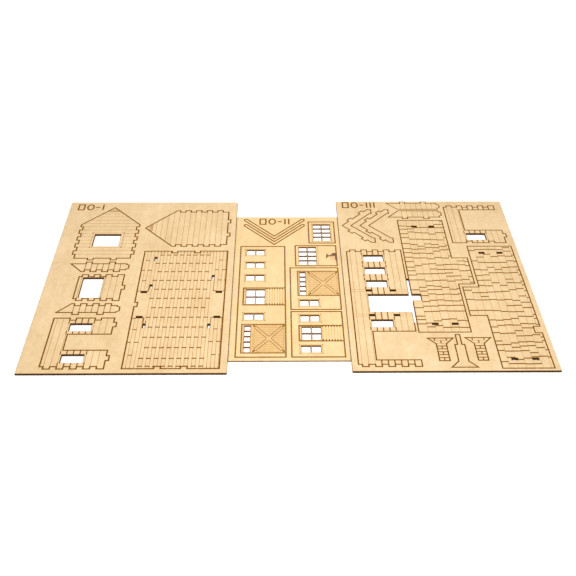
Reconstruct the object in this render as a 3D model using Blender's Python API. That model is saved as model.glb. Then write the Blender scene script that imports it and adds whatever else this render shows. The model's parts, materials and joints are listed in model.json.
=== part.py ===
"""Three laser-cut fibreboard sheets of a plank-walled building kit.

Every wall, roof half, door and trim piece still lies in the sheet that it was cut from, one laser cut (the
kerf) away from its neighbours. Plans are drawn in millimetres, with each sheet's front left corner at (0, 0),
and the meshes are made in metres.
"""

import math

import bmesh
import bpy
from mathutils import Vector
from mathutils.geometry import tessellate_polygon

MM = 0.001

# The sheets
SHEET = (160.0, 222.0)  # the two outer sheets, across and deep
THIN_SHEET = (95.0, 186.0)  # the sheet between them
BOARD = 2.0  # thickness of the outer sheets
THIN_BOARD = 1.0
SHEET_GAP = 0.3
SHEET_SLIP = 0.7  # the left sheet lies this far forward, and the right one this far back
THIN_SHEET_SLIP = -5.5

# The cutting
KERF = 0.3  # clear width of each cut
PLANK = 5.08  # pitch of the wall planks, and the width of a tab
TAB = 2.4  # how far a tab stands out, and how deep its notch or slot is

# The walls, measured up from their foot
WALL_HEIGHT = 49.1
BAY_HEIGHT = 38.6
FOOT = 5.5  # up to the first plank line
SILL = 17.0
HEAD = 34.7  # top of the doors and windows
WINDOW = 8.8  # width of a small window
GABLE = 54.6  # width over the teeth
BAY_FOOT_X = 66.1  # where the feet of the bay and the entry wall lie on the left sheet
CHEEK_LENGTH = 48.8

# The roof halves, drawn from their ridge
ROOF_LENGTH = 149.4
ROOF_WIDTH = 40.2
RIDGE_LAP = 2.0  # the left half reaches this far over the right one's edge
PORCH = (58.3, 93.6)  # where the roof reaches out over the bay, and how far
PORCH_REACH = 14.0
CHIMNEY_NOTCH = (38.2, 45.5)
CHIMNEY_NOTCH_DEPTH = 5.6
RAFTER_PITCH = 16.25  # between the two slots that take a rafter's tabs
RAFTER_START = 10.0

# The rafters: a V on its side, measured from its point
RAFTER_DEPTH = 8.4  # along X, from the outer point to the inner one
RAFTER_HEIGHT = 25.4  # from the middle line to an arm's end
RAFTER_REACH = 29.0
RAFTER_SEAT = 18.8

# Trim and lining
BARGEBOARD = 3.0  # width of the strip
BARGEBOARD_RUN = 26.7
CAP_STEPS = 6
MULLION = 0.9

BOARD_COLOUR = (0.86, 0.65, 0.39)
THIN_BOARD_COLOUR = (0.93, 0.75, 0.43)
ROUGHNESS = 0.75


# Drawing aids: a plan is a list of (x, y) corners, anticlockwise


def box(low_x, low_y, high_x, high_y):
    return [(low_x, low_y), (high_x, low_y), (high_x, high_y), (low_x, high_y)]


def moved(plan, dx, dy):
    return [(x + dx, y + dy) for x, y in plan]


def swapped(points):
    """The points with x and y exchanged, which turns an edge along X into one along Y."""
    return [(y, x) for x, y in points]


def flipped_x(plan, about):
    return [(2 * about - x, y) for x, y in reversed(plan)]


def flipped_y(plan, about):
    return [(x, 2 * about - y) for x, y in reversed(plan)]


def laid_down(plan, foot_x, start_y):
    """A wall drawn upright, turned so that its foot faces +X."""
    return [(foot_x - up, start_y + along) for along, up in plan]


def grown(plan, distance):
    """The plan with every edge moved outwards by distance, its corners kept sharp."""
    corners = [Vector(corner) for corner in plan]
    out = []
    for before, here, after in zip(corners[-1:] + corners[:-1], corners, corners[1:] + corners[:1]):
        arriving = (here - before).normalized()
        leaving = (after - here).normalized()
        outwards = Vector((arriving.y + leaving.y, -arriving.x - leaving.x))
        out.append(here + outwards * distance / (1 + arriving.dot(leaving)))
    return [(corner.x, corner.y) for corner in out]


def stepped(places, levels):
    """An edge along X that takes the levels in turn, changing at each inner place."""
    corners = []
    for index, (start, end) in enumerate(zip(places, places[1:])):
        level = levels[index % len(levels)]
        corners += [(start, level), (end, level)]
    return corners


def middle_of(plan):
    xs, ys = zip(*plan)
    return (min(xs) + max(xs)) / 2, (min(ys) + max(ys)) / 2


# Plans of the walls, drawn upright with the foot along X


def plank_lines(height):
    """Heights of a wall's foot, its plank lines and its top."""
    count = math.ceil((height - FOOT) / PLANK)
    return [0.0] + [FOOT + PLANK * index for index in range(count)] + [height]


def gable_plan():
    """A gable end, centred on X: toothed sides, a roof at 45 degrees and two foot tabs."""
    half = GABLE / 2
    body = half - TAB
    foot = [-body, -2.5 * PLANK, -1.5 * PLANK, 1.5 * PLANK, 2.5 * PLANK, body]
    side = swapped(stepped(plank_lines(WALL_HEIGHT), (body, half)))[1:]
    peak = [(0.0, WALL_HEIGHT + half)]
    return stepped(foot, (0.0, -TAB)) + side + peak + flipped_x(side, 0.0)


def toothed_end(length, height):
    """The far end of a wall that locks into a corner: a tooth at every other plank."""
    return swapped(stepped(plank_lines(height), (length + TAB, length)))


def notched_end(length, height):
    """The far end of a wall that takes the two tabs of its neighbour."""
    lines = plank_lines(height)
    places = [0.0, lines[2], lines[3], lines[6], lines[7], height]
    return swapped(stepped(places, (length, length - TAB)))


def wall_plan(length, height, foot_features, near_end, far_end):
    """A plank wall. Each foot feature is (start, end, level): a door opening or, below 0, a tab."""
    foot = []
    for start, end, level in foot_features:
        foot += [(start, 0.0), (start, level), (end, level), (end, 0.0)]
    return foot + far_end(length, height) + flipped_x(near_end(0.0, height), 0.0)


def foot_tab(start):
    return start, start + PLANK, -TAB


def window(start, width=WINDOW):
    return box(start, SILL, start + width, HEAD)


def cheek_plan(height, toothed):
    """A bay's sloping side, its tip at (0, 0): two tabs below, a 45 degree end and a far tab."""
    far = CHEEK_LENGTH
    foot = [0.0] + [far - PLANK * count for count in (7, 6, 3, 2)] + [far]
    side = height - TAB if toothed else height
    reach, chamfer = 3.3, 1.1
    low, high = side / 2 - reach, side / 2 + reach
    tab = [(far, low), (far + TAB, low + chamfer), (far + TAB, high - chamfer), (far, high)]
    top = [(height, height), (far, height)]
    if toothed:
        places = [height] + [far - PLANK * count for count in range(7, -1, -1)]
        top = stepped(places, (height, side))
    return stepped(foot, (0.0, -TAB)) + tab + top[::-1]


# Plans of the other pieces


def floor_plan(low_x, low_y, high_x, high_y):
    """The floor: notches for the gables' foot tabs front and back, and one for the bay on the left."""
    middle_x, middle_y = middle_of(box(low_x, low_y, high_x, high_y))
    places = [low_x] + [middle_x + PLANK * step for step in (-2.5, -1.5, 1.5, 2.5)] + [high_x]
    front = stepped(places, (low_y, low_y + TAB))
    back = stepped(places, (high_y, high_y - TAB))
    notch = swapped(stepped([middle_y - PLANK / 3, middle_y + PLANK * 2 / 3], (low_x + TAB,)))
    edge = [(low_x, y) for x, y in notch]
    return front + back[::-1] + [edge[1], notch[1], notch[0], edge[0]]


def roof_plan(lap, notched=True):
    """A roof half: X runs from the ridge down to the eave, with lap more board at the ridge."""
    eave, porch = ROOF_WIDTH, ROOF_WIDTH + PORCH_REACH
    low, high = PORCH
    plan = [(-lap, 0.0), (eave, 0.0), (eave, low), (porch, low), (porch, high), (eave, high)]
    plan += [(eave, ROOF_LENGTH), (-lap, ROOF_LENGTH)]
    if notched:
        low, high = CHIMNEY_NOTCH
        depth = CHIMNEY_NOTCH_DEPTH
        plan += [(-lap, high), (depth, high), (depth, low), (-lap, low)]
    return plan


def roof_slots():
    """The slots that take the rafters' tabs."""
    inset = 8.4
    found = []
    for x in (RAFTER_START, RAFTER_START + RAFTER_PITCH):
        for y in (inset, ROOF_LENGTH - inset - TAB):
            found.append(box(x, y, x + PLANK, y + TAB))
    return found


def rafter_plan():
    """Two rafters in one piece, a V pointing to -X, with two tabs on each outer edge."""

    def on_arm(along, out):
        return (along - out) * math.sqrt(0.5), (along + out) * math.sqrt(0.5)

    arm = []
    for start in (9.4, 9.4 + RAFTER_PITCH):
        arm += [on_arm(start, 0.0), on_arm(start, TAB)]
        arm += [on_arm(start + PLANK, TAB), on_arm(start + PLANK, 0.0)]
    arm += [(RAFTER_HEIGHT, RAFTER_HEIGHT), (RAFTER_REACH, RAFTER_HEIGHT), (RAFTER_REACH, RAFTER_SEAT)]
    arm += [(RAFTER_SEAT + RAFTER_DEPTH, RAFTER_SEAT)]
    return [(0.0, 0.0)] + flipped_y(arm, 0.0)[::-1] + [(RAFTER_DEPTH, 0.0)] + arm[::-1]


def bargeboard_plan():
    """A V of one strip with round ends, standing on its point at (0, 0)."""
    radius = BARGEBOARD / 2
    depth = BARGEBOARD * math.sqrt(2)
    end_x, end_y = BARGEBOARD_RUN, BARGEBOARD_RUN + depth / 2
    cap = []
    for step in range(CAP_STEPS + 1):
        angle = math.pi * (step / CAP_STEPS - 0.25)
        cap.append((end_x + radius * math.cos(angle), end_y + radius * math.sin(angle)))
    return [(0.0, 0.0)] + cap + [(0.0, depth)] + flipped_x(cap, 0.0)


def chimney_face_plan():
    """A chimney stack with a flared top, centred on X."""
    stem, shoulder, flare = 4.05, 18.2, 6.35
    right = [(stem, 0.0), (stem, shoulder), (stem + flare, shoulder + flare)]
    return right + flipped_x(right, 0.0)


def chimney_core_plan():
    """The stack between the two faces: a flared foot, a stem and a long tab, centred on X."""
    stem, flare, shoulder, tab, top = 3.95, 6.35, 24.3, 1.8, 35.2
    right = [(stem + flare, 0.0), (stem, flare), (stem, shoulder), (tab, shoulder), (tab, top)]
    return right + flipped_x(right, 0.0)


def panel_plan(low_x, low_y, high_x, high_y, pockets):
    """A lining panel whose door pockets, (low, high, start), open to the right."""
    right = []
    for low, high, start in pockets:
        right += [(high_x, low), (start, low), (start, high), (high_x, high)]
    return [(low_x, low_y), (high_x, low_y)] + right + [(high_x, high_y), (low_x, high_y)]


def panes(low_x, low_y, high_x, high_y, across, up):
    """The panes of a window, with mullions between them."""
    width = (high_x - low_x - MULLION * (across - 1)) / across
    height = (high_y - low_y - MULLION * (up - 1)) / up
    found = []
    for column in range(across):
        for row in range(up):
            x = low_x + column * (width + MULLION)
            y = low_y + row * (height + MULLION)
            found.append(box(x, y, x + width, y + height))
    return found


# Solids


def board_material(name, colour):
    material = bpy.data.materials.new(name)
    material.use_nodes = True
    shader = material.node_tree.nodes["Principled BSDF"]
    shader.inputs["Base Color"].default_value = (*colour, 1.0)
    shader.inputs["Roughness"].default_value = ROUGHNESS
    shader.inputs["Metallic"].default_value = 0.0
    return material


def plate_object(name, plan, holes, low, high):
    """A flat solid from low to high with the plan's outline and holes, its origin in the plan's middle."""
    centre_x, centre_y = middle_of(plan)
    loops = []
    for loop in (plan, *holes):
        loops.append([Vector((x - centre_x, y - centre_y, 0.0)) * MM for x, y in loop])
    solid = bmesh.new()
    corners = [corner for loop in loops for corner in loop]
    bottom = [solid.verts.new((corner.x, corner.y, low * MM)) for corner in corners]
    top = [solid.verts.new((corner.x, corner.y, high * MM)) for corner in corners]
    for triangle in tessellate_polygon(loops):
        solid.faces.new([bottom[index] for index in triangle])
        solid.faces.new([top[index] for index in triangle])
    first = 0
    for loop in loops:
        for index in range(len(loop)):
            here = first + index
            after = first + (index + 1) % len(loop)
            solid.faces.new((bottom[here], bottom[after], top[after], top[here]))
        first += len(loop)
    bmesh.ops.recalc_face_normals(solid, faces=solid.faces)
    mesh = bpy.data.meshes.new(name)
    solid.to_mesh(mesh)
    solid.free()
    plate = bpy.data.objects.new(name, mesh)
    plate.location = (centre_x * MM, centre_y * MM, 0.0)
    bpy.context.scene.collection.objects.link(plate)
    return plate


class Sheet:
    """A board on the table. The pieces cut from it are parented to an empty at its front left corner."""

    def __init__(self, name, size, thickness, middle, colour):
        self.name = name
        self.size = size
        self.thickness = thickness
        self.colour = colour
        self.cutters = []
        self.corner = bpy.data.objects.new(name + "_corner", None)
        self.corner.location = ((middle[0] - size[0] / 2) * MM, (middle[1] - size[1] / 2) * MM, 0.0)
        bpy.context.scene.collection.objects.link(self.corner)

    def cut(self, name, plan, holes=(), opening=None):
        """A loose piece, half a kerf smaller than its plan, in an opening half a kerf larger."""
        piece = plate_object(name, grown(plan, -KERF / 2), holes, 0.0, self.thickness)
        piece.parent = self.corner
        piece.data.materials.append(board_material(name, self.colour))
        self.open_frame(name, grown(opening or plan, KERF / 2))
        return piece

    def cut_door(self, name, pocket, right, holes):
        """A door that fills the pocket of a lining panel, out to the panel's right edge."""
        low, high, start = pocket
        plan = grown(box(start, low, right, high), -KERF / 2)
        door = plate_object(name, plan, holes, 0.0, self.thickness)
        door.parent = self.corner
        door.data.materials.append(board_material(name, self.colour))

    def open_frame(self, name, plan):
        """Cuts the plan right through the sheet's frame."""
        clear = 1.0
        cutter = plate_object(name + "_cutter", plan, (), -clear, self.thickness + clear)
        cutter.parent = self.corner
        cutter.hide_render = True
        cutter.display_type = "WIRE"
        self.cutters.append(cutter)

    def make_frame(self):
        """What is left of the board once the pieces are cut out."""
        frame = plate_object(self.name + "_frame", box(0.0, 0.0, *self.size), (), 0.0, self.thickness)
        frame.parent = self.corner
        frame.data.materials.append(board_material(self.name + "_frame", self.colour))
        for cutter in self.cutters:
            opening = frame.modifiers.new(cutter.name, "BOOLEAN")
            opening.operation = "DIFFERENCE"
            opening.object = cutter


def make_left_sheet():
    """Both gables, the bay, the entry wall and the floor."""
    middle = (-(THIN_SHEET[0] + SHEET[0]) / 2 - SHEET_GAP, -SHEET_SLIP)
    sheet = Sheet("left_sheet", SHEET, BOARD, middle, BOARD_COLOUR)

    width, gable_x, gable_foot = 24.0, 42.8, 136.8
    opening = box(gable_x - width / 2, gable_foot + SILL, gable_x + width / 2, gable_foot + HEAD)
    sheet.cut("gable_wall_with_window", moved(gable_plan(), gable_x, gable_foot), [opening])
    sheet.cut("gable_wall_plain", laid_down(gable_plan(), 152.3, 180.9))

    cheek_x, cheek_height = 17.1, 10.6
    back_cheek = moved(flipped_y(cheek_plan(cheek_height, True), 0.0), cheek_x, 129.1)
    sheet.cut("bay_cheek_back", back_cheek)
    sheet.cut("bay_cheek_front", moved(cheek_plan(cheek_height, True), cheek_x, 66.9))

    length, start_y, margin = 28.3, 83.7, 1.3
    tabs = [foot_tab((length - PLANK) / 2)]
    bay = wall_plan(length, BAY_HEIGHT, tabs, toothed_end, toothed_end)
    opening = laid_down(window(margin, length - 2 * margin), BAY_FOOT_X, start_y)
    sheet.cut("bay_front_wall", laid_down(bay, BAY_FOOT_X, start_y), [opening])

    length, start_y = 53.3, 7.0
    features = [foot_tab(6.2), (17.2, 34.8, HEAD), foot_tab(43.1)]
    entry = wall_plan(length, WALL_HEIGHT, features, toothed_end, notched_end)
    openings = [laid_down(window(start), BAY_FOOT_X, start_y) for start in (4.0, 38.3)]
    sheet.cut("entry_wall", laid_down(entry, BAY_FOOT_X, start_y), openings)

    slots = [box(x, y, x + PLANK, y + TAB) for x in (83.2, 146.5) for y in (60.1, 90.7)]
    slots += [box(89.6, y, 89.6 + TAB, y + PLANK) for y in (48.6, 96.3, 133.4)]
    slots += [box(141.8, y, 141.8 + TAB, y + PLANK) for y in (48.3, 108.5)]
    sheet.cut("floor_panel", floor_plan(79.8, 4.6, 154.0, 146.6), slots)
    sheet.make_frame()


def make_middle_sheet():
    """The thin lining: bargeboards, window frames, and wall linings with their doors."""
    sheet = Sheet("middle_sheet", THIN_SHEET, THIN_BOARD, (0.0, THIN_SHEET_SLIP), THIN_BOARD_COLOUR)

    for name, point_y in (("bargeboard_back", 152.3), ("bargeboard_front", 144.1)):
        sheet.cut(name, moved(bargeboard_plan(), 35.4, point_y))
    sheet.cut("gable_window_frame", box(67.2, 146.2, 91.1, 178.2), panes(71.4, 149.9, 87.2, 173.8, 2, 4))
    sheet.cut("bay_window_lining", box(54.4, 113.9, 91.1, 142.3), panes(57.4, 115.8, 73.0, 139.9, 2, 4))

    right = 91.2
    pocket = (74.9, 106.4, 55.8)
    plan = panel_plan(49.4, 57.8, right, 111.1, [pocket])
    sheet.cut("barn_wall_lining", plan, panes(57.0, 62.3, 72.7, 69.1, 2, 1), box(49.4, 57.8, right, 111.1))
    sheet.cut_door("barn_wall_door", pocket, right, panes(57.5, 75.7, 62.5, 104.9, 1, 5))

    right = 91.1
    pocket = (21.4, 38.9, 55.6)
    plan = panel_plan(49.4, 4.0, right, 55.2, [pocket])
    windows = panes(56.9, 9.1, 72.5, 15.9, 2, 1) + panes(56.9, 43.9, 72.5, 50.7, 2, 1)
    sheet.cut("entry_wall_lining", plan, windows, box(49.4, 4.0, right, 55.2))
    sheet.cut_door("entry_wall_door", pocket, right, panes(57.9, 23.0, 73.2, 37.2, 2, 2))

    right = 44.8
    barn_pocket, pocket = (8.5, 40.3, 9.5), (63.4, 84.6, 9.5)
    plan = panel_plan(5.3, 4.0, right, 141.2, [barn_pocket, pocket])
    windows = [pane for y in (46.1, 94.6, 111.8, 129.1) for pane in panes(10.8, y, 26.7, y + 6.8, 2, 1)]
    sheet.cut("long_wall_lining", plan, windows, box(5.3, 4.0, right, 141.2))
    sheet.cut_door("long_wall_barn_door", barn_pocket, right, panes(11.5, 9.5, 16.5, 38.5, 1, 5))
    sheet.cut_door("long_wall_double_door", pocket, right, panes(12.0, 65.0, 27.4, 82.5, 2, 2))
    sheet.make_frame()


def make_right_sheet():
    """Rafters, the roof, the long wall, the barn wall and the chimney."""
    middle = ((THIN_SHEET[0] + SHEET[0]) / 2 + SHEET_GAP, SHEET_SLIP)
    sheet = Sheet("right_sheet", SHEET, BOARD, middle, BOARD_COLOUR)

    for name, point_x in (("rafter_pair_outer", 3.6), ("rafter_pair_inner", 20.2)):
        sheet.cut(name, moved(rafter_plan(), point_x, 183.0))

    cheek_x, cheek_height = 48.4, 10.1
    back_cheek = moved(flipped_y(cheek_plan(cheek_height, False), 0.0), cheek_x, 218.8)
    sheet.cut("plain_cheek_back", back_cheek)
    sheet.cut("plain_cheek_front", moved(cheek_plan(cheek_height, False), cheek_x, 196.2))

    length, foot_x, start_y = 55.5, 152.3, 156.8
    features = [foot_tab(8.5), (19.0, 51.1, HEAD)]
    barn = wall_plan(length, WALL_HEIGHT, features, notched_end, toothed_end)
    opening = laid_down(window(4.7, 9.5), foot_x, start_y)
    sheet.cut("barn_wall", laid_down(barn, foot_x, start_y), [opening])

    ridge_x, start_y = 58.3, 41.6
    slots = [moved(slot, ridge_x, start_y) for slot in roof_slots()]
    opening = moved(roof_plan(RIDGE_LAP, notched=False), ridge_x, start_y)
    sheet.cut("roof_half_left", moved(roof_plan(RIDGE_LAP), ridge_x, start_y), slots, opening)
    ridge_x, start_y = 155.4, 2.5
    slots = [moved(flipped_x(slot, 0.0), ridge_x, start_y) for slot in roof_slots()]
    sheet.cut("roof_half_right", moved(flipped_x(roof_plan(0.0), 0.0), ridge_x, start_y), slots)

    length, foot_x, start_y = 137.3, 54.1, 7.0
    barn_opening, doorway = (4.6, 35.8, HEAD), (58.8, 79.9, HEAD)
    long_wall = wall_plan(length, WALL_HEIGHT, [barn_opening, doorway], toothed_end, toothed_end)
    uncut = wall_plan(length, WALL_HEIGHT, [barn_opening], toothed_end, toothed_end)
    lines = plank_lines(WALL_HEIGHT)
    holes = [window(start) for start in (40.6, 89.2, 106.4, 123.6)]
    holes += [box(x, lines[low], x + TAB, lines[low + 1]) for x in (53.4, 83.7) for low in (2, 6)]
    holes = [laid_down(hole, foot_x, start_y) for hole in holes]
    opening = laid_down(uncut, foot_x, start_y)
    sheet.cut("long_wall", laid_down(long_wall, foot_x, start_y), holes, opening)
    sheet.open_frame("fallen_scrap", box(foot_x - 1.0, 52.9, foot_x + 3.0, 106.9))

    sheet.cut("chimney_face_left", moved(chimney_face_plan(), 72.2, 10.5))
    sheet.cut("chimney_face_right", moved(chimney_face_plan(), 102.3, 10.9))
    sheet.cut("chimney_core", moved(chimney_core_plan(), 86.65, 3.7))
    sheet.make_frame()


for left_over in list(bpy.data.objects):
    bpy.data.objects.remove(left_over)
make_left_sheet()
make_middle_sheet()
make_right_sheet()
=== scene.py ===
"""Three laser-cut fibreboard sheets on a white table: charred cuts, engraved planks, shingles and trim."""

import json
import math
import random

import bmesh
import bpy
from mathutils import Matrix, Vector
from mathutils.geometry import delaunay_2d_cdt


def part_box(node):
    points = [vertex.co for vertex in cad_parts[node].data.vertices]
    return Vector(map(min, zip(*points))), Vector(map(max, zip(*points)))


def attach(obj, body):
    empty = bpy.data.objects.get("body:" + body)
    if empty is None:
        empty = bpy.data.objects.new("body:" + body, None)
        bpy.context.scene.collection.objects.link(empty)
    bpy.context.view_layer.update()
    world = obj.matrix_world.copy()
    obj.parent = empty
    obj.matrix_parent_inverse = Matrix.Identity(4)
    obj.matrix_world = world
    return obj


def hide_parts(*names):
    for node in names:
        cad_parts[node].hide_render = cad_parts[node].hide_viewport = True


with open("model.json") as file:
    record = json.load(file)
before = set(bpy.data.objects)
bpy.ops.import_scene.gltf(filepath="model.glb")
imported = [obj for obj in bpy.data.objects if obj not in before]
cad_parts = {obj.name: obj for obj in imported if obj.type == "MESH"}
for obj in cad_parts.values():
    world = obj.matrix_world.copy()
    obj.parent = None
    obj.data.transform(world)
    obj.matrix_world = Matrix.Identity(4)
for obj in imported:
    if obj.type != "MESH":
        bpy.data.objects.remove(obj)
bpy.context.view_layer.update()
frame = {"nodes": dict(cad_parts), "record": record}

MM = 0.001
FRAMES = ("left_sheet_frame", "middle_sheet_frame", "right_sheet_frame")

# The CAD's drawing, in millimetres from each sheet's front left corner
KERF = 0.3
PLANK = 5.08
TAB = 2.4
WALL_HEIGHT = 49.1
BAY_HEIGHT = 38.6
FOOT = 5.5
SILL = 17.0
HEAD = 34.7
GABLE_HALF = 27.3
CHEEK_LENGTH = 48.8
ROOF_LENGTH = 149.4
EAVE = 40.2
PORCH_EAVE = 54.2
PORCH_LOW, PORCH_HIGH = 58.3, 93.6

# How flat a face lies that counts as a board's upper face, how slight a turn counts as straight, and how
# close two places are that count as one
FACING_UP = 0.9
STRAIGHT = 1e-3
MERGE_DISTANCE = 1e-6

# The burnt edge of a cut, in rings from the cut inwards: how far in, and how far below the face. The
# colour of the board follows how far below its face a point lies, so these rings carry the scorch.
BURN_RINGS = ((0.0, 0.16), (0.42, 0.11), (0.72, 0.03), (1.0, 0.0))
KERF_BURN = 0.62
HOLE_BURN = 0.42
RIM_BURN = 0.25
BURN_MARGIN = 0.02
BURN_SHRINK = 0.85

# How much further the board reaches at the bottom of a cut, which tapers: in millimetres for a kerf, and
# as a share of the thickness for a slot, which is a hole of less than this area
KERF_TAPER = 0.08
SLOT_TAPER = 0.18
SLOT_AREA = 60.0

# The nibs that hold a piece in its sheet, wide enough to have some face left between their scorched sides.
# A side longer than the first length has one, and a side longer than the second has two.
NIB_WIDTH = 1.45
NIB_REACH = KERF - 0.03
NIB_SIDE = 14.0
NIB_LONG_SIDE = 70.0

# Engraved lines: half width of the floor, half width of the line, how far the scorch spreads beyond,
# its depth, and the line's depth
FINE = (0.0, 0.17, 0.14, 0.012, 0.058)
FAINT = (0.0, 0.20, 0.14, 0.014, 0.075)
MEDIUM = (0.12, 0.28, 0.20, 0.022, 0.160)
FIRM = (0.28, 0.44, 0.26, 0.028, 0.200)
SHINGLE = (0.34, 0.53, 0.28, 0.030, 0.225)
BOLD = (0.48, 0.66, 0.30, 0.030, 0.240)
BAR = (0.47, 0.52, 0.20, 0.030, 0.170)
SHORTEST_LINE = 0.6
RASTER_DEPTH = 0.015
PIT_SIZE, PIT_DEPTH = 0.42, 0.42
PIT_SPACING = 0.9
CUTTER_TOP = 0.2
CUTTER_MARGIN = 0.1

# Where a plank line's end has its pit, and the lines beside an opening's corners
PIT_INSET = 0.2
SHORT_PLANK = 10.0
CORNER_REACH = 2.0
CORNER_TICK = 3.2
EDGE_GAP = 0.4


# Plans


def grown(plan, distance):
    """The plan with every side moved outwards."""
    corners = [Vector(corner) for corner in plan]
    out = []
    for before, here, after in zip(corners[-1:] + corners[:-1], corners, corners[1:] + corners[:1]):
        arriving = (here - before).normalized()
        leaving = (after - here).normalized()
        outwards = Vector((arriving.y + leaving.y, -arriving.x - leaving.x))
        out.append(here + outwards * distance / (1 + arriving.dot(leaving)))
    return [(corner.x, corner.y) for corner in out]


def without_straight_corners(loop):
    """The loop without the corners where it doesn't turn."""
    kept = []
    for before, here, after in zip(loop[-1:] + loop[:-1], loop, loop[1:] + loop[:1]):
        arriving = Vector(here) - Vector(before)
        leaving = Vector(after) - Vector(here)
        turn = abs(arriving.x * leaving.y - arriving.y * leaving.x)
        if turn > STRAIGHT * arriving.length * leaving.length:
            kept.append(here)
    return kept


def outlines(node, corner):
    """The loops round the node's upper face, with the board on the left of each."""
    mesh = frame["nodes"][node].data
    places = [
        (round((vertex.co.x - corner.x) / MM, 3), round((vertex.co.y - corner.y) / MM, 3))
        for vertex in mesh.vertices
    ]
    after = {}
    for polygon in mesh.polygons:
        if polygon.normal.z < FACING_UP:
            continue
        ring = [places[index] for index in polygon.vertices]
        # A side that two faces share cancels out, which leaves the outline
        for start, end in zip(ring, ring[1:] + ring[:1]):
            if after.get(end, {}).pop(start, None) is None:
                after.setdefault(start, {})[end] = True
    following = {start: next(iter(ends)) for start, ends in after.items() if ends}
    loops = []
    while following:
        start = next(iter(following))
        loop = [start]
        here = following.pop(start)
        while here != start:
            loop.append(here)
            here = following.pop(here)
        loops.append(without_straight_corners(loop))
    return loops


def inside(point, loops):
    """Whether the point lies on the board that the loops enclose."""
    x, y = point
    crossed = False
    for loop in loops:
        for (ax, ay), (bx, by) in zip(loop, loop[1:] + loop[:1]):
            if (ay > y) != (by > y) and x < ax + (bx - ax) * (y - ay) / (by - ay):
                crossed = not crossed
    return crossed


def with_nibs(loop, neighbours, chance):
    """The loop with small bridges out towards the neighbours, a few to each piece."""
    out = []
    for (ax, ay), (bx, by) in zip(loop, loop[1:] + loop[:1]):
        out.append((ax, ay))
        start, end = Vector((ax, ay)), Vector((bx, by))
        length = (end - start).length
        along = (end - start) / length
        outwards = Vector((along.y, -along.x))
        shares = []
        if length > NIB_LONG_SIDE:
            shares = [chance.uniform(0.2, 0.4), chance.uniform(0.6, 0.8)]
        elif length > NIB_SIDE:
            shares = [chance.uniform(0.3, 0.7)]
        for share in shares:
            middle = start + along * length * share
            if not inside(middle + outwards * 2 * KERF, neighbours):
                continue
            near, far = middle - along * NIB_WIDTH / 2, middle + along * NIB_WIDTH / 2
            for corner in (near, near + outwards * NIB_REACH, far + outwards * NIB_REACH, far):
                out.append((corner.x, corner.y))
    return out


# Solids


def new_object(name, solid, origin):
    """An object from a mesh drawn in millimetres from its sheet's corner."""
    mesh = bpy.data.meshes.new(name)
    for vertex in solid.verts:
        vertex.co = Vector((origin.x, origin.y, 0.0)) + vertex.co * MM
    bmesh.ops.recalc_face_normals(solid, faces=solid.faces)
    solid.to_mesh(mesh)
    solid.free()
    made = bpy.data.objects.new(name, mesh)
    bpy.context.scene.collection.objects.link(made)
    return made


def area(loop):
    """The loop's area, which is negative round a hole."""
    return sum(ax * by - bx * ay for (ax, ay), (bx, by) in zip(loop, loop[1:] + loop[:1])) / 2


def clearance(loop, loops):
    """The narrowest strip of board between the loop and the other loops."""
    least = 9.0
    for other in loops:
        if other is loop:
            continue
        for first, second in ((loop, other), (other, loop)):
            for corner in first:
                corner = Vector(corner)
                for start, end in zip(second, second[1:] + second[:1]):
                    start, end = Vector(start), Vector(end)
                    to_start, to_end = corner.x - start.x, corner.x - end.x
                    if min(abs(to_start), abs(to_end)) > least and to_start * to_end > 0:
                        continue
                    share = (corner - start).dot(end - start) / (end - start).length_squared
                    nearest = start + (end - start) * max(0.0, min(1.0, share))
                    least = min(least, (corner - nearest).length)
    return least


def triangles(loops):
    """Triangles that fill the loops, as places in the list of all corners, or None if the loops cross."""
    points, edges = [], []
    for loop in loops:
        first, count = len(points), len(loop)
        points += [Vector(corner) for corner in loop]
        edges += [(first + index, first + (index + 1) % count) for index in range(count)]
    corners, _, faces, sources, _, _ = delaunay_2d_cdt(points, edges, [], 0, MERGE_DISTANCE)
    if any(len(source) != 1 for source in sources):
        return None
    found = []
    for face in faces:
        middle = sum((corners[index] for index in face), Vector((0.0, 0.0))) / len(face)
        if inside(middle, loops):
            found.append([sources[index][0] for index in face])
    return found


def burnt_plate(name, loops, thickness, origin, is_frame):
    """The board inside the loops, with scorched rings along every cut.

    A kerf runs round a piece's outside and round a frame's holes. The frame's own outside and the
    piece's windows are less burnt.
    """
    burns = []
    for loop in loops:
        outer = area(loop) > 0
        if outer != is_frame:
            burn = KERF_BURN
        else:
            burn = RIM_BURN if outer else HOLE_BURN
        burn = min(burn, clearance(loop, loops) / 2 - BURN_MARGIN)
        while triangles([grown(loop, -burn)]) is None:
            burn *= BURN_SHRINK
        burns.append(burn)
    upper = None
    while upper is None:
        upper = triangles([grown(loop, -burn) for loop, burn in zip(loops, burns)])
        if upper is None:
            burns = [burn * BURN_SHRINK for burn in burns]
    solid = bmesh.new()
    bottoms, tops = [], []
    for loop, burn in zip(loops, burns):
        outer = area(loop) > 0
        taper = 0.0
        if outer != is_frame:
            taper = KERF_TAPER
        elif not outer and -area(loop) < SLOT_AREA:
            taper = SLOT_TAPER * thickness
        rings = [(grown(loop, taper), 0.0)]
        rings += [(grown(loop, -share * burn), thickness - drop) for share, drop in BURN_RINGS]
        made = [[solid.verts.new((x, y, height)) for x, y in ring] for ring, height in rings]
        for low, high in zip(made, made[1:]):
            for index in range(len(low)):
                after = (index + 1) % len(low)
                solid.faces.new((low[index], low[after], high[after], high[index]))
        bottoms += made[0]
        tops += made[-1]
    for corners, filling in ((bottoms, triangles(loops)), (tops, upper)):
        for triangle in filling:
            solid.faces.new([corners[index] for index in triangle])
    return new_object(name, solid, origin)


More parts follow.
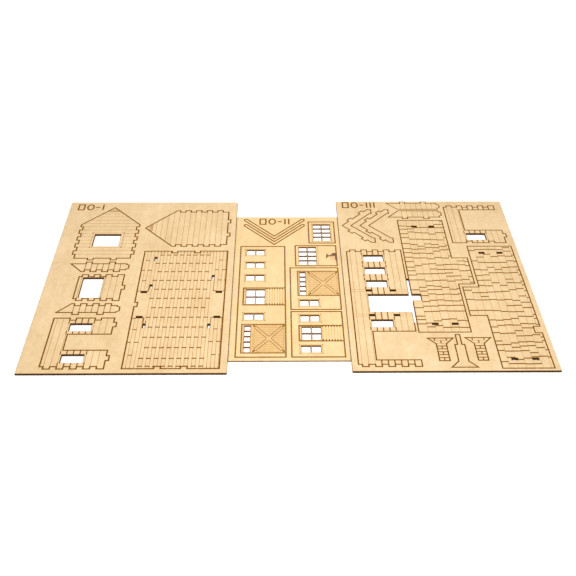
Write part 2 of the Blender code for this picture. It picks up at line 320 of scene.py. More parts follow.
def add_groove(solid, points, closed, style, top):
    """A cutter that follows the points and leaves a groove with scorched shoulders."""
    flat, half, spread, lip, depth = style
    outer = half + spread + CUTTER_MARGIN
    rise = CUTTER_MARGIN * lip / spread
    floor = [(-flat, -depth), (flat, -depth)] if flat else [(0.0, -depth)]
    left = [(-outer, CUTTER_TOP), (-outer, rise), (-half, -lip)]
    profile = [*left, *floor, *[(-across, up) for across, up in reversed(left)]]
    corners = [Vector(point) for point in points]
    count = len(corners)
    rings = []
    for index, here in enumerate(corners):
        before = corners[index - 1] if index or closed else None
        after = corners[(index + 1) % count] if index < count - 1 or closed else None
        arriving = (here - before).normalized() if before else (after - here).normalized()
        leaving = (after - here).normalized() if after else arriving
        sideways = Vector((-arriving.y - leaving.y, arriving.x + leaving.x)) / (1 + arriving.dot(leaving))
        ring = []
        for across, up in profile:
            spot = here + sideways * across
            ring.append(solid.verts.new((spot.x, spot.y, top + up)))
        rings.append(ring)
    pairs = list(zip(rings, rings[1:]))
    if closed:
        pairs.append((rings[-1], rings[0]))
    for near, far in pairs:
        for index in range(len(profile)):
            after = (index + 1) % len(profile)
            solid.faces.new((near[index], near[after], far[after], far[index]))
    if not closed:
        solid.faces.new(rings[0][::-1])
        solid.faces.new(rings[-1])


def add_pit(solid, x, y, size, depth, top):
    """A cutter for the small pit where the laser dwelt, a pyramid with its tip cut off."""
    around = [(-size, 0), (0, -size), (size, 0), (0, size)]
    wider, narrower = 1.3, 0.4
    over = [solid.verts.new((x + dx * wider, y + dy * wider, top + CUTTER_MARGIN)) for dx, dy in around]
    under = [solid.verts.new((x + dx * narrower, y + dy * narrower, top - depth)) for dx, dy in around]
    for index in range(4):
        after = (index + 1) % 4
        solid.faces.new((over[index], over[after], under[after], under[index]))
    solid.faces.new(over[::-1])
    solid.faces.new(under)


def add_recess(solid, plan, depth, top):
    """A cutter for a flat, shallow area that the laser hatched."""
    low = [solid.verts.new((x, y, top - depth)) for x, y in plan]
    high = [solid.verts.new((x, y, top + CUTTER_TOP)) for x, y in plan]
    for index in range(len(plan)):
        after = (index + 1) % len(plan)
        solid.faces.new((low[index], low[after], high[after], high[index]))
    solid.faces.new(low[::-1])
    solid.faces.new(high)


class Engraving:
    """What the laser drew on one piece, in groups whose cutters don't touch each other."""

    def __init__(self):
        self.grooves = {}
        self.pits = []
        self.recesses = []

    def line(self, start, end, style=FAINT, group=""):
        """A straight line, in a group for its direction: lines that cross go in different groups."""
        dx, dy = end[0] - start[0], end[1] - start[1]
        if math.hypot(dx, dy) < SHORTEST_LINE:
            return
        if abs(dy) < MERGE_DISTANCE:
            heading = "x"
        elif abs(dx) < MERGE_DISTANCE:
            heading = "y"
        else:
            heading = "up" if dx * dy > 0 else "down"
        self.grooves.setdefault(heading + group, []).append(([start, end], False, style))

    def ring(self, points, style):
        self.grooves.setdefault("ring", []).append((points, True, style))

    def tick(self, start, end, style=FIRM, group=""):
        """A short firm line with a pit at each end."""
        self.line(start, end, style, group)
        self.pit(*start)
        self.pit(*end)

    def pit(self, x, y):
        """A pit, unless there is one here already."""
        if all(math.hypot(x - px, y - py) > PIT_SPACING for px, py in self.pits):
            self.pits.append((x, y))

    def plank_line(self, place, start, end, up):
        """A faint line with a pit just inside each end."""
        self.line(place(start, up), place(end, up), FAINT)
        self.pit(*place(start + PIT_INSET, up))
        self.pit(*place(end - PIT_INSET, up))

    def rectangle(self, low_x, low_y, high_x, high_y, style=FIRM, overrun=0.0):
        for y in (low_y, high_y):
            self.line((low_x - overrun, y), (high_x + overrun, y), style, "_box")
        for x in (low_x, high_x):
            self.line((x, low_y - overrun), (x, high_y + overrun), style, "_box")

    def cutters(self, name, top, origin):
        """One closed mesh for each group."""
        found = []
        if self.recesses:
            solid = bmesh.new()
            for plan in self.recesses:
                add_recess(solid, plan, RASTER_DEPTH, top)
            found.append(new_object(name + "_recesses", solid, origin))
        for group, grooves in self.grooves.items():
            solid = bmesh.new()
            for points, closed, style in grooves:
                add_groove(solid, points, closed, style, top)
            found.append(new_object(name + "_grooves_" + group, solid, origin))
        if self.pits:
            solid = bmesh.new()
            for x, y in self.pits:
                add_pit(solid, x, y, PIT_SIZE, PIT_DEPTH, top)
            found.append(new_object(name + "_pits", solid, origin))
        return found


ENGRAVED = {node: Engraving() for node in frame["nodes"]}


# Plank walls, drawn upright and then mapped onto their sheet


def laid(foot_x, start_y):
    """A wall that lies with its foot to the right."""
    return lambda along, up: (foot_x - up, start_y + along)


def upright(middle_x, foot_y):
    return lambda along, up: (middle_x + along, foot_y + up)


def gaps(start, end, blocks):
    """The stretches from start to end that no block covers."""
    found = []
    for low, high in sorted(blocks):
        if low > start:
            found.append((start, min(low, end)))
        start = max(start, high)
    if start < end:
        found.append((start, end))
    return found


def engrave_planks(node, place, length, height, openings):
    """Plank lines along a wall, broken at its openings, with short firm lines beside their corners."""
    piece = ENGRAVED[node]
    for index in range(math.ceil((height - FOOT) / PLANK)):
        up = FOOT + PLANK * index
        blocks = [(start - 0.1, end + 0.1) for start, end, low, high in openings if low < up < high]
        for start, end in gaps(0.0, length, blocks):
            if end - start < SHORT_PLANK:
                piece.tick(place(start + PIT_INSET, up), place(end - PIT_INSET, up))
            else:
                piece.plank_line(place, start, end, up)
        for start, end, low, high in openings:
            if low > 0 and (low - CORNER_REACH < up < low or high < up < high + CORNER_REACH):
                for near, far in ((start - CORNER_TICK, start), (end, end + CORNER_TICK)):
                    near, far = max(near, EDGE_GAP), min(far, length - EDGE_GAP)
                    piece.tick(place(near, up), place(far, up), FIRM, "_corner")


def engrave_gable(node, place, window=None):
    """Plank lines right up to the peak, a casing round any window, and a small triangle in the peak."""
    piece = ENGRAVED[node]
    peak = WALL_HEIGHT + GABLE_HALF
    up = FOOT
    while up < peak - 8:
        half = GABLE_HALF - TAB if up < WALL_HEIGHT else peak - up - 0.2
        blocks = []
        if window and window[2] < up < window[3]:
            blocks = [(window[0], window[1])]
        for start, end in gaps(-half, half, blocks):
            piece.plank_line(place, start, end, up)
        up += PLANK
    if window:
        low_x, high_x, low_y, high_y = window
        for up in (low_y, high_y):
            piece.line(place(low_x - 1.0, up), place(high_x + 1.0, up), FAINT, "_frame")
        for along in (low_x, high_x):
            piece.line(place(along, low_y), place(along, high_y), FAINT, "_frame")
            for up in (low_y, high_y):
                piece.line(place(along - 0.5, up), place(along + 0.5, up), FIRM, "_corner")
    for down, style in ((6.4, MEDIUM), (5.2, MEDIUM), (4.0, FAINT), (2.8, FAINT)):
        half = down - 0.9
        piece.line(place(-half, peak - down), place(half, peak - down), style, f"_{down:.0f}")


def engrave_cheek(node, x, y, height, facing, style):
    """Lines across a bay's sloping side, at every plank."""
    piece = ENGRAVED[node]
    for step in range(1, 8):
        along = CHEEK_LENGTH - PLANK * step
        piece.tick((x + along, y), (x + along, y + facing * min(height, along)), style)


def engrave_left_sheet():
    window = (-13.9, 14.4, 15.4, 36.6)
    engrave_gable("gable_wall_with_window", upright(42.8, 136.8), window)
    engrave_gable("gable_wall_plain", laid(152.3, 180.9))
    engrave_cheek("bay_cheek_back", 17.1, 129.1, 10.6 - TAB, -1, MEDIUM)
    engrave_cheek("bay_cheek_front", 17.1, 66.9, 10.6 - TAB, 1, MEDIUM)
    engrave_planks("bay_front_wall", laid(66.1, 83.7), 28.3, BAY_HEIGHT, [(1.3, 27.0, SILL, HEAD)])
    openings = [(17.2, 34.8, -1, HEAD), (4.0, 12.8, SILL, HEAD), (38.3, 47.1, SILL, HEAD)]
    engrave_planks("entry_wall", laid(66.1, 7.0), 53.3, WALL_HEIGHT, openings)
    engrave_floor()


def engrave_floor():
    """Floorboards: long ones in the middle, with staggered joints, and shorter ones on both sides."""
    floor = ENGRAVED["floor_panel"]
    boards, first, board = 17, 91.7, 2.924
    low, high = 4.8, 146.4
    slots = {
        0: [(47.6, 54.6), (95.3, 102.3), (132.4, 139.4)],
        boards: [(47.3, 54.3), (107.5, 114.5)],
    }
    for index in range(boards + 1):
        x = first + board * index
        for start, end in gaps(low, high, slots.get(index, [])):
            floor.line((x, start), (x, end), FAINT)
        floor.line((x, 143.4), (x, 145.8), MEDIUM, "_end")
    rows = [7.1] + [15.3 + 11.43 * row for row in range(12)]
    for number, y in enumerate(rows):
        for index in range(0 if number == 0 or number % 2 else 1, boards, 2):
            x = first + board * index
            floor.tick((x - 0.3, y), (x + board + 0.3, y), SHINGLE)

    for x in (82.6, 85.6, 88.9, 144.2, 147.2, 150.2, 153.0):
        for start, end in ((low, 59.6), (93.6, high)):
            floor.line((x, start), (x, end), FAINT)
        for start, end in ((low, 6.4), (high - 1.6, high)):
            floor.line((x, start), (x, end), MEDIUM, "_end")
    joints = (
        ((18.7, 46.9, 106.4, 133.5), [(82.6, 85.6)]),
        ((32.6, 120.1), [(80.0, 82.6), (85.6, 88.9)]),
        ((59.7, 93.0), [(80.0, 83.0)]),
        ((19.2, 47.4, 107.2, 134.0), [(147.2, 150.2), (153.0, 153.9)]),
        ((33.3, 120.8), [(144.2, 147.2), (150.2, 153.7)]),
    )
    for heights, spans in joints:
        for y in heights:
            for start, end in spans:
                floor.tick((start, y), (end, y))

    # Round the plain middle of each side, from slot to slot
    for x, start, end, style in (
        (89.6, 53.9, 60.6, FIRM),
        (89.2, 92.6, 96.0, FIRM),
        (91.7, 54.4, 56.6, FIRM),
        (144.2, 53.5, 61.0, MEDIUM),
        (144.2, 93.2, 108.3, MEDIUM),
    ):
        floor.line((x, start), (x, end), style, "_side")
    for start, end, y in (
        (88.2, 89.6, 60.6),
        (88.2, 89.2, 92.6),
        (144.2, 147.0, 61.0),
        (144.2, 147.0, 93.2),
        (152.0, 153.9, 60.6),
        (152.0, 153.9, 93.2),
    ):
        floor.line((start, y), (end, y), FIRM, "_side")


# The thin sheet


def engrave_surround(node, low_x, low_y, high_x, high_y, margin=1.15):
    """The casing round a window, with ears at its corners."""
    piece = ENGRAVED[node]
    low_x, low_y, high_x, high_y = low_x - margin, low_y - margin, high_x + margin, high_y + margin
    piece.rectangle(low_x, low_y, high_x, high_y, FAINT, 0.7)
    for x in (low_x, high_x):
        for y in (low_y, high_y):
            piece.line((x, y - 0.6), (x, y + 0.6), MEDIUM, "_ear")


def engrave_bars_and_head_shade(node, low_x, low_y, high_x, high_y, deep):
    """Scorches the glazing bars that run across a window, and darkens a line above its head: the far
    wall's char seen through the opening, with painted shade.
    """
    piece = ENGRAVED[node]
    bar = 0.9
    pitch = (high_y - low_y + bar) / deep
    for index in range(1, deep):
        y = low_y + pitch * index - bar / 2
        piece.line((low_x, y), (high_x, y), BAR, "_bar")
    # Painted shade: a scorched line just above the head, darker than the edge's own char, for the dark far
    # wall and the shade in the opening
    piece.line((low_x - 0.2, high_y + 0.25), (high_x + 0.2, high_y + 0.25), FIRM, "_bar")


def crossings(edges, y):
    """Where a level line crosses the edges."""
    return [px + (qx - px) * (y - py) / (qy - py) for (px, py), (qx, qy) in edges if (py > y) != (qy > y)]


def engrave_brace(node, low_x, low_y, high_x, high_y):
    """A braced panel: a frame, two crossing braces, and hatched boards in the four fields between them."""
    piece = ENGRAVED[node]
    brace_half, hatch = 1.2, 2.4
    middle = Vector(((low_x + high_x) / 2, (low_y + high_y) / 2))
    corners = [(low_x, low_y), (high_x, low_y), (high_x, high_y), (low_x, high_y)]
    piece.recesses.append(corners)
    piece.rectangle(low_x, low_y, high_x, high_y, FAINT)
    for start, end in zip(corners, corners[1:] + corners[:1]):
        field = grown([start, end, tuple(middle)], -brace_half)
        edges = list(zip(field, field[1:] + field[:1]))
        piece.line(*edges[0], FAINT)
        for first, second in edges[1:]:
            first, second = Vector(first), Vector(second)
            trim = (second - first).normalized() * 0.5
            piece.line(tuple(first + trim), tuple(second - trim), MEDIUM)
        heights = [y for _, y in field]
        y = low_y + brace_half + hatch
        while y < high_y - brace_half - 1.0:
            if min(heights) + 0.7 < y < max(heights) - 0.7:
                xs = crossings(edges, y)
                if len(xs) == 2 and max(xs) - min(xs) > 1.6:
                    piece.line((min(xs) + 0.3, y), (max(xs) - 0.3, y), FAINT)
            y += hatch
    for corner in corners:
        corner = Vector(corner)
        inward = (middle - corner).normalized()
        piece.line(tuple(corner + inward * 0.5), tuple(corner + inward * 3.4), BOLD, "_corner")


def engrave_boards(node, first, last, low_y, high_y):
    """A door leaf's boards, each line firmer at its ends."""
    piece = ENGRAVED[node]
    count, end = 7, 1.5
    for index in range(count):
        x = first + (last - first) * index / count
        piece.line((x, low_y), (x, high_y), FINE)
        piece.line((x, low_y), (x, low_y + end), FIRM, "_foot")
        piece.line((x, high_y - end), (x, high_y), FIRM, "_head")


def engrave_middle_sheet():
    small = 6.8
    windows = [("long_wall_lining", 10.8, y, 26.7) for y in (46.1, 94.6, 111.8, 129.1)]
    windows += [("entry_wall_lining", 56.9, y, 72.6) for y in (9.1, 43.9)]
    windows += [("barn_wall_lining", 56.9, 62.3, 72.6)]
    for node, low_x, y, high_x in windows:
        engrave_surround(node, low_x, y, high_x, y + small)
        engrave_bars_and_head_shade(node, low_x, y, high_x, y + small, 1)
    engrave_surround("gable_window_frame", 71.4, 149.9, 87.2, 173.8)
    engrave_bars_and_head_shade("gable_window_frame", 71.4, 149.9, 87.2, 173.8, 4)
    ENGRAVED["bay_window_lining"].line((74.6, 114.6), (74.6, 141.6), FAINT)
    engrave_bars_and_head_shade("bay_window_lining", 57.4, 115.8, 73.0, 139.9, 4)

    engrave_surround("long_wall_double_door", 12.0, 65.0, 27.4, 82.5, 0.75)
    engrave_bars_and_head_shade("long_wall_double_door", 12.0, 65.0, 27.4, 82.5, 2)
    engrave_boards("long_wall_double_door", 29.4, 44.6, 63.8, 84.2)
    engrave_surround("entry_wall_door", 57.9, 23.0, 73.2, 37.2, 0.75)
    engrave_bars_and_head_shade("entry_wall_door", 57.9, 23.0, 73.2, 37.2, 2)
    engrave_boards("entry_wall_door", 74.8, 90.9, 21.8, 38.5)

    engrave_bars_and_head_shade("long_wall_barn_door", 11.5, 9.5, 16.5, 38.5, 5)
    engrave_brace("long_wall_barn_door", 18.3, 9.3, 44.2, 39.6)
    ENGRAVED["long_wall_barn_door"].rectangle(10.6, 8.9, 17.3, 39.1, FAINT)
    engrave_bars_and_head_shade("barn_wall_door", 57.5, 75.7, 62.5, 104.9, 5)
    engrave_brace("barn_wall_door", 64.4, 75.7, 90.5, 105.7)
    ENGRAVED["barn_wall_door"].rectangle(56.6, 75.1, 63.3, 105.5, FAINT)


# The right sheet


def engrave_courses(piece, place, edges):
    """The long lines between courses, shorter where only the porch reaches and clear of the ridge slot."""
    for x in edges:
        start, end = (0.3, ROOF_LENGTH - 0.3) if x < EAVE - 0.5 else (PORCH_LOW + 0.3, PORCH_HIGH - 0.3)
        blocks = [(37.8, 46.2)] if x < 7.0 else []
        for low, high in gaps(start, end, blocks):
            piece.line(place(x, low), place(x, high), FINE)


def shingle_side(near, far, y):
    """How much of the course from near to far the roof has at y, or None if it has too little."""
    within_porch = PORCH_LOW + 1.2 < y < PORCH_HIGH - 1.2
    on_porch = near >= EAVE - 1.0
    if (on_porch and not within_porch) or not 1.4 < y < ROOF_LENGTH - 1.4:
        return None
    if far > EAVE and not within_porch:
        far = EAVE
    if near < 5.6 and 37.0 < y < 46.8:
        near = 5.9
    return (near, far) if far - near >= 1.5 else None


def engrave_shingles(node, place, seed, lap, first):
    """Courses of shingles along the slope, their sides in wandering rows."""
    chance = random.Random(seed)
    piece = ENGRAVED[node]
    course, drift, spacing = 6.4, 2.6, 3.9
    edges = [-lap] + [first + course * index for index in range(8)] + [PORCH_EAVE]
    engrave_courses(piece, place, edges[1:-1])
    latest = [0.0] * (len(edges) - 1)
    row = 2.0
    while row < ROOF_LENGTH + 4:
        offset, run = chance.choice((-1.2, 0.0, 1.2)), 0
        for column, (near, far) in enumerate(zip(edges, edges[1:])):
            run += 1
            if run > 1 or chance.random() < 0.50:
                offset += chance.choice((-3.2, -2.0, -1.0, 1.0, 2.0, 3.2))
                offset = max(-drift, min(drift, offset))
                run = 0
            marks = [row + offset + chance.uniform(-0.5, 0.5)]
            if chance.random() < 0.06:
                marks.append(row + offset + chance.uniform(3.4, 4.4))
            for y in marks:
                side = shingle_side(near, far, y)
                if side is None or y - latest[column] < spacing:
                    continue
                latest[column] = y
                start, end = place(side[0] + 0.1, y), place(side[1] - 0.1, y)
                piece.tick(start, end, SHINGLE, str(column % 2))
        row += chance.choice((6.2, 6.8, 7.4))


def engrave_bricks(node, middle_x, foot_y):
    """Courses of brick up the stem, every other one split, and two rows on end in the flared top."""
    piece = ENGRAVED[node]
    stem, flare, split = 4.0, 5.9, 4.7
    courses = [0.0, 3.3, 6.4, 9.5, 12.6, 15.7, 18.5]
    for number, up in enumerate(courses[1:], 1):
        style = FAINT if up == courses[-1] else FIRM
        piece.line((middle_x - stem, foot_y + up), (middle_x + stem, foot_y + up), style)
        if number % 2:
            piece.tick((middle_x, foot_y + courses[number - 1] + 0.2), (middle_x, foot_y + up))
    piece.line((middle_x, foot_y + 18.7), (middle_x, foot_y + 21.9), FIRM, "_top")
    piece.line((middle_x - flare, foot_y + 21.6), (middle_x + flare, foot_y + 21.6), FAINT, "_top")
    for along in (-split, split):
        piece.line((middle_x + along, foot_y + 21.8), (middle_x + along, foot_y + 24.0), FIRM, "_top")


def engrave_right_sheet():
    engrave_cheek("plain_cheek_back", 48.4, 218.8, 10.1, -1, FAINT)
    engrave_cheek("plain_cheek_front", 48.4, 196.2, 10.1, 1, FAINT)
    between = [(60.0, 206.9), (96.6, 206.9), (96.6, 208.1), (60.0, 208.1)]
    ENGRAVED["right_sheet_frame"].recesses.append(between)
    openings = [(19.0, 51.1, -1, HEAD), (4.7, 14.2, SILL, HEAD)]
    engrave_planks("barn_wall", laid(152.3, 156.8), 55.5, WALL_HEIGHT, openings)
    windows = [(start, start + 8.8, SILL, HEAD) for start in (40.6, 89.2, 106.4, 123.6)]
    openings = [(4.6, 35.8, -1, HEAD), (58.8, 79.9, -1, HEAD), *windows]
    engrave_planks("long_wall", laid(54.1, 7.0), 137.3, WALL_HEIGHT, openings)
    wall = ENGRAVED["long_wall"]
    for post in (60.4, 90.7):
        for y in (post, post + TAB):
            wall.line((5.4, y), (17.6, y), FAINT)
            wall.line((44.2, y), (53.6, y), FAINT)
    engrave_shingles("roof_half_left", lambda x, y: (58.3 + x, 41.6 + y), 5, 2.0, 5.7)
    engrave_shingles("roof_half_right", lambda x, y: (155.4 - x, 2.5 + y), 11, 0.0, 2.4)
    engrave_bricks("chimney_face_left", 72.2, 10.5)
    engrave_bricks("chimney_face_right", 102.3, 10.9)


def engrave_label(node, x, y, bars):
    """A plain mark for each sheet: a square, a ring, a dash, and a bar for each sheet's number."""
    piece = ENGRAVED[node]
    wide, tall = 5.4, 8.2
    ring_middle, ring_half, ring_steps = 11.4, 3.0, 12
    half_up = y + tall / 2
    piece.ring([(x, y), (x + wide, y), (x + wide, y + tall), (x, y + tall)], BOLD)
    ring = []
    for step in range(ring_steps):
        angle = math.tau * step / ring_steps
        across, up = ring_half * math.cos(angle), tall / 2 * math.sin(angle)
        ring.append((x + ring_middle + across, half_up + up))
    piece.ring(ring, BOLD)
    piece.line((x + 16.4, half_up), (x + 20.4, half_up), BOLD)
    for index in range(bars):
        bar_x = x + 23.4 + 3.6 * index
        piece.line((bar_x, y - 0.2), (bar_x, y + tall + 0.2), BOLD)


# Materials. Colours are linear.

LIGHT_2MM, DARK_2MM = (0.644, 0.478, 0.284, 1), (0.530, 0.368, 0.190, 1)
LIGHT_1MM, DARK_1MM = (0.682, 0.492, 0.264, 1), (0.572, 0.398, 0.190, 1)
FLECK = (0.36, 0.20, 0.10, 1)
# The walls deep in a cut: real char, made darker still as painted shade of the narrow cuts
SOOT_AND_SHADE, DUSTY_SOOT_AND_SHADE = (0.028, 0.011, 0.002, 1), (0.062, 0.027, 0.006, 1)
STAIN, KNOT = (0.50, 0.22, 0.07, 1), (0.085, 0.030, 0.024, 1)

# What the board's colour is multiplied by at each depth below its face, as a share of the deepest
SCORCH_DEPTH = 0.5
SCORCH = (
    (0.0, (1, 1, 1, 1)),
    (0.030, (0.90, 0.83, 0.74, 1)),
    (0.060, (0.80, 0.65, 0.33, 1)),
    (0.130, (0.50, 0.33, 0.090, 1)),
    (0.240, (0.29, 0.155, 0.028, 1)),
)


class Nodes:
    """A material's node tree, with short calls for the nodes that boards need."""

    def __init__(self, name):
        self.material = bpy.data.materials.new(name)
        self.material.use_nodes = True
        self.tree = self.material.node_tree
        self.shader = self.tree.nodes["Principled BSDF"]

    def add(self, kind, **settings):
        node = self.tree.nodes.new(kind)
        for key, value in settings.items():
            setattr(node, key, value)
        return node

    def put(self, socket, value):
        if isinstance(value, bpy.types.NodeSocket):
            self.tree.links.new(value, socket)
        else:
            socket.default_value = value

    def math(self, operation, first, second):
        node = self.add("ShaderNodeMath", operation=operation)
        self.put(node.inputs[0], first)
        self.put(node.inputs[1], second)
        return node.outputs[0]

    def clamped(self, value, low, high, to_low=0.0, to_high=1.0):
        """The value's place between low and high."""
        node = self.add("ShaderNodeMapRange", clamp=True)
        self.put(node.inputs["Value"], value)
        self.put(node.inputs["From Min"], low)
        self.put(node.inputs["From Max"], high)
        self.put(node.inputs["To Min"], to_low)
        self.put(node.inputs["To Max"], to_high)
        return node.outputs["Result"]

    def noise(self, where, stretch, scale=1.0, detail=3.0, roughness=0.55):
        mapping = self.add("ShaderNodeMapping")
        self.put(mapping.inputs["Vector"], where)
        self.put(mapping.inputs["Scale"], stretch)
        node = self.add("ShaderNodeTexNoise")
        self.put(node.inputs["Vector"], mapping.outputs[0])
        self.put(node.inputs["Scale"], scale)
        self.put(node.inputs["Detail"], detail)
        self.put(node.inputs["Roughness"], roughness)
        return node.outputs["Fac"]

    def height(self, vector):
        node = self.add("ShaderNodeSeparateXYZ")
        self.put(node.inputs[0], vector)
        return node.outputs[2]

    def mix(self, factor, first, second, blend="MIX"):
        """A mix of colours, whose sockets come after those for numbers and vectors."""
        node = self.add("ShaderNodeMix", data_type="RGBA", blend_type=blend)
        self.put(node.inputs[0], factor)
        self.put(node.inputs[6], first)
        self.put(node.inputs[7], second)
        return node.outputs[2]

    def ramp(self, factor, stops):
        node = self.add("ShaderNodeValToRGB")
        points = node.color_ramp.elements
        while len(points) < len(stops):
            points.new(0.5)
        for point, (position, colour) in zip(points, stops):
            point.position = position
            point.color = colour
        self.put(node.inputs[0], factor)
        return node.outputs[0]


def raw_board(nodes, where, fibre, light, dark):
    """The clean board: cloudy, with streaks along its grain and a few dark flecks."""
    grain = nodes.math("MULTIPLY", nodes.noise(where, (1, 1, 1), 34), 0.30)
    for texture, share in (
        (nodes.noise(where, (210, 22, 210), roughness=0.6), 0.18),
        (nodes.noise(where, (330, 250, 330), roughness=0.65), 0.34),
        (fibre, 0.18),
    ):
        grain = nodes.math("ADD", grain, nodes.math("MULTIPLY", texture, share))
    board = nodes.mix(nodes.clamped(grain, 0.38, 0.62), dark, light)
    flecks = nodes.clamped(nodes.noise(where, (420, 420, 420), detail=1.0), 0.80, 0.86)
    return nodes.mix(nodes.math("MULTIPLY", flecks, 0.45), board, FLECK)


def board_material(name, top, light, dark, knot_corner=None):
    """Raw board that is clean on its face, and burnt darker the further below the face a point lies, with
    painted shade deep in the cuts.
    """
    nodes = Nodes(name)
    where = nodes.add("ShaderNodeTexCoord").outputs["Object"]
    depth = nodes.math("MULTIPLY", nodes.math("SUBTRACT", top, nodes.height(where)), 1 / MM)
    fibre = nodes.noise(where, (1500, 700, 1500), detail=2.0, roughness=0.7)
    soot = nodes.noise(where, (520, 520, 60), roughness=0.65)
    board = raw_board(nodes, where, fibre, light, dark)
    if knot_corner:
        board = knot_on(nodes, where, board, knot_corner)

    uneven = nodes.math("MULTIPLY", depth, nodes.clamped(soot, 0.3, 0.7, 0.75, 1.3))
    scorch = nodes.ramp(nodes.math("DIVIDE", uneven, SCORCH_DEPTH), SCORCH)
    burnt = nodes.mix(1.0, board, scorch, "MULTIPLY")
    # Deep in a cut the walls turn near black: real char, and painted shade of the narrow holes and kerfs
    sooty_and_shaded = nodes.mix(nodes.clamped(soot, 0.35, 0.65), SOOT_AND_SHADE, DUSTY_SOOT_AND_SHADE)
    burnt = nodes.mix(nodes.clamped(depth, 0.24, 0.48), burnt, sooty_and_shaded)
    # The underside is as far down as the foot of a cut, and clean
    facing_up = nodes.height(nodes.add("ShaderNodeNewGeometry").outputs["Normal"])
    underside = nodes.math("LESS_THAN", facing_up, -0.5)
    nodes.put(nodes.shader.inputs["Base Color"], nodes.mix(underside, burnt, board))
    nodes.put(nodes.shader.inputs["Roughness"], 0.8)
    nodes.put(nodes.shader.inputs["Specular IOR Level"], 0.08)

    bump = nodes.add("ShaderNodeBump")
    nodes.put(bump.inputs["Strength"], 0.25)
    nodes.put(bump.inputs["Distance"], 0.04 * MM)
    nodes.put(bump.inputs["Height"], nodes.math("ADD", fibre, nodes.math("MULTIPLY", soot, 0.5)))
    nodes.put(nodes.shader.inputs["Normal"], bump.outputs[0])
    return nodes.material


def knot_on(nodes, where, board, corner):
    """A small dark knot with a crooked tail, and the stain beside it."""
    warp = nodes.add("ShaderNodeTexNoise")
    nodes.put(warp.inputs["Vector"], where)
    nodes.put(warp.inputs["Scale"], 700.0)
    shift = nodes.add("ShaderNodeVectorMath", operation="SCALE")
    nodes.put(shift.inputs[0], warp.outputs["Color"])
    wander = 1.5
    nodes.put(shift.inputs["Scale"], wander * MM)
    bent = nodes.add("ShaderNodeVectorMath", operation="ADD")
    nodes.put(bent.inputs[0], where)
    nodes.put(bent.inputs[1], shift.outputs[0])

    def blot(x, y, wide, tall, turn):
        """An ellipse, set over by half of the wander, which shifts every way by that much."""
        centre = (corner.x + (x + wander / 2) * MM, corner.y + (y + wander / 2) * MM, 0.0)
        mapping = nodes.add("ShaderNodeMapping", vector_type="TEXTURE")
        nodes.put(mapping.inputs["Vector"], bent.outputs[0])
        nodes.put(mapping.inputs["Location"], centre)
        nodes.put(mapping.inputs["Rotation"], (0.0, 0.0, math.radians(turn)))
        nodes.put(mapping.inputs["Scale"], (wide * MM, tall * MM, 1.0))
        flat = nodes.add("ShaderNodeVectorMath", operation="MULTIPLY")
        nodes.put(flat.inputs[0], mapping.outputs[0])
        nodes.put(flat.inputs[1], (1, 1, 0))
        length = nodes.add("ShaderNodeVectorMath", operation="LENGTH")
        nodes.put(length.inputs[0], flat.outputs[0])
        return nodes.clamped(length.outputs["Value"], 1.15, 0.75)

    stain = blot(89.3, 125.2, 4.0, 4.6, 0)
    board = nodes.mix(nodes.math("MULTIPLY", stain, 0.35), board, STAIN)
    knot = blot(82.6, 127.4, 0.85, 3.6, -8)
    for spot in ((85.4, 127.9, 2.8, 1.0, 6), (88.9, 129.6, 2.7, 2.3, 12), (90.6, 124.6, 0.9, 4.6, 3)):
        knot = nodes.math("MAXIMUM", knot, blot(*spot))
    return nodes.mix(nodes.math("MULTIPLY", knot, 0.9), board, KNOT)


# The pieces


def carve(piece, cutters):
    """Cuts the engraving into the piece, and removes the cutters."""
    for cutter in cutters:
        cut = piece.modifiers.new(cutter.name, "BOOLEAN")
        cut.operation = "DIFFERENCE"
        cut.solver = "MANIFOLD"
        cut.object = cutter
    shape = piece.evaluated_get(bpy.context.evaluated_depsgraph_get())
    mesh = bpy.data.meshes.new_from_object(shape)
    piece.modifiers.clear()
    solid = bmesh.new()
    solid.from_mesh(mesh)
    bmesh.ops.triangulate(solid, faces=solid.faces)
    solid.to_mesh(mesh)
    solid.free()
    mesh.validate()
    piece.data = mesh
    for cutter in cutters:
        bpy.data.objects.remove(cutter)


def holds(outer, inner):
    """Whether nibs run from outer to inner: from a frame to any piece, or from a lining to a door."""
    return outer != inner and inner not in FRAMES and (outer in FRAMES or inner.endswith("_door"))


def make_pieces():
    corners, ends, tops = {}, {}, {}
    for node in FRAMES:
        low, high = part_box(node)
        corners[node], ends[node], tops[node] = low, high.x, high.z
    home = {}
    for node in frame["nodes"]:
        low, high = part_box(node)
        middle = (low.x + high.x) / 2
        home[node] = next(sheet for sheet in FRAMES if corners[sheet].x < middle < ends[sheet])
    plans = {node: outlines(node, corners[home[node]]) for node in frame["nodes"]}

    thick, thin = FRAMES[0], FRAMES[1]
    board_2mm = board_material("board_2mm", tops[thick], LIGHT_2MM, DARK_2MM)
    board_1mm = board_material("board_1mm", tops[thin], LIGHT_1MM, DARK_1MM)
    knotty = board_material("board_1mm_knotty", tops[thin], LIGHT_1MM, DARK_1MM, corners[thin])

    bodies = {}
    for body, nodes in frame["record"]["behaviour"]["bodies"].items():
        for node in nodes:
            bodies[node] = body
    for number, node in enumerate(sorted(frame["nodes"])):
        sheet = home[node]
        origin = corners[sheet]
        thickness = (tops[sheet] - origin.z) / MM
        loops = plans[node]
        if node in FRAMES or node.endswith("_lining"):
            others = [
                loop
                for other in frame["nodes"]
                if home[other] == sheet and holds(node, other)
                for loop in plans[other]
            ]
            chance = random.Random(number)
            loops = [with_nibs(loop, others, chance) for loop in loops]
        piece = burnt_plate(node + "_cut", loops, thickness, origin, node in FRAMES)
        cutters = ENGRAVED[node].cutters(node, thickness, origin)
        if cutters:
            carve(piece, cutters)
        material = board_1mm if sheet == thin else board_2mm
        if node == "bay_window_lining":
            material = knotty
        piece.data.materials.clear()
        piece.data.materials.append(material)
        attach(piece, bodies[node])
        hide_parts(node)


# Table, light and camera


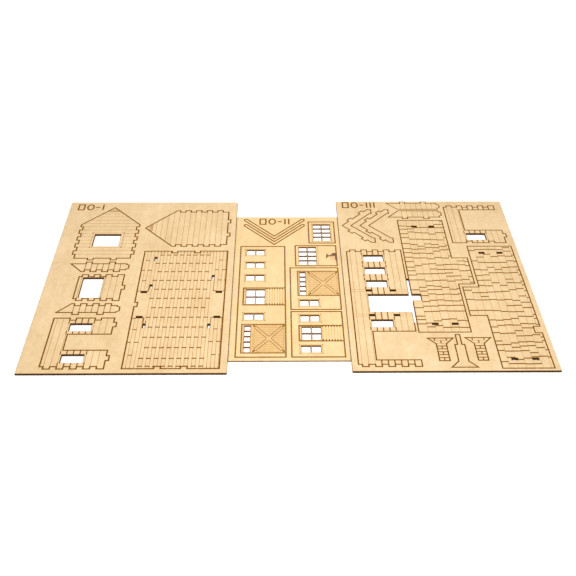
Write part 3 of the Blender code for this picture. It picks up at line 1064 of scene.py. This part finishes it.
def make_stage():
    """A white table, even light from all round, and a soft box over the front edge."""
    floor_mesh = bpy.data.meshes.new("table")
    reach, level = 3.0, -0.1 * MM
    floor_mesh.from_pydata(
        [(-reach, -reach, level), (reach, -reach, level), (reach, reach, level), (-reach, reach, level)],
        [],
        [(0, 1, 2, 3)],
    )
    floor = bpy.data.objects.new("table", floor_mesh)
    bpy.context.scene.collection.objects.link(floor)
    white = bpy.data.materials.new("table_white")
    white.use_nodes = True
    shader = white.node_tree.nodes["Principled BSDF"]
    shader.inputs["Base Color"].default_value = (0.95, 0.95, 0.95, 1)
    shader.inputs["Roughness"].default_value = 0.9
    shader.inputs["Specular IOR Level"].default_value = 0.1
    floor_mesh.materials.append(white)

    world = bpy.data.worlds.new("studio")
    bpy.context.scene.world = world
    world.use_nodes = True
    background = world.node_tree.nodes["Background"]
    background.inputs["Color"].default_value = (1, 1, 1, 1)
    background.inputs["Strength"].default_value = 1.105

    light = bpy.data.lights.new("softbox", "AREA")
    light.shape = "RECTANGLE"
    light.size, light.size_y = 0.30, 0.20
    light.energy = 1.25
    softbox = bpy.data.objects.new("softbox", light)
    softbox.location = (0.02, -0.08, 0.42)
    softbox.visible_camera = False
    bpy.context.scene.collection.objects.link(softbox)


def make_camera():
    """A view over the front edge, about 42 degrees down and very slightly turned and tilted."""
    pitch, yaw, roll = (math.radians(angle) for angle in (41.70, -1.02, -0.57))
    right = Vector((math.cos(yaw), math.sin(yaw), 0.0))
    ahead = Vector((-math.sin(yaw), math.cos(yaw), 0.0))
    up = Vector((0.0, 0.0, 1.0))
    forwards = ahead * math.cos(pitch) - up * math.sin(pitch)
    down = -ahead * math.sin(pitch) - up * math.cos(pitch)
    image_right = right * math.cos(roll) + down * math.sin(roll)
    image_down = -right * math.sin(roll) + down * math.cos(roll)
    lens = bpy.data.cameras.new("camera")
    lens.sensor_width = 36.0
    lens.lens = 48.16
    lens.clip_start = 0.01
    camera = bpy.data.objects.new("camera", lens)
    pose = Matrix((image_right, -image_down, -forwards)).transposed().to_4x4()
    pose.translation = Vector((-0.0090, -0.5049, 0.4384))
    camera.matrix_world = pose
    bpy.context.scene.collection.objects.link(camera)
    bpy.context.scene.camera = camera


engrave_left_sheet()
engrave_middle_sheet()
engrave_right_sheet()
engrave_label("left_sheet_frame", 8.0, 209.6, 1)
engrave_label("middle_sheet_frame", 22.0, 174.6, 2)
engrave_label("right_sheet_frame", 6.0, 211.6, 3)
make_camera()
make_stage()
make_pieces()
bpy.context.scene.view_settings.view_transform = "Standard"
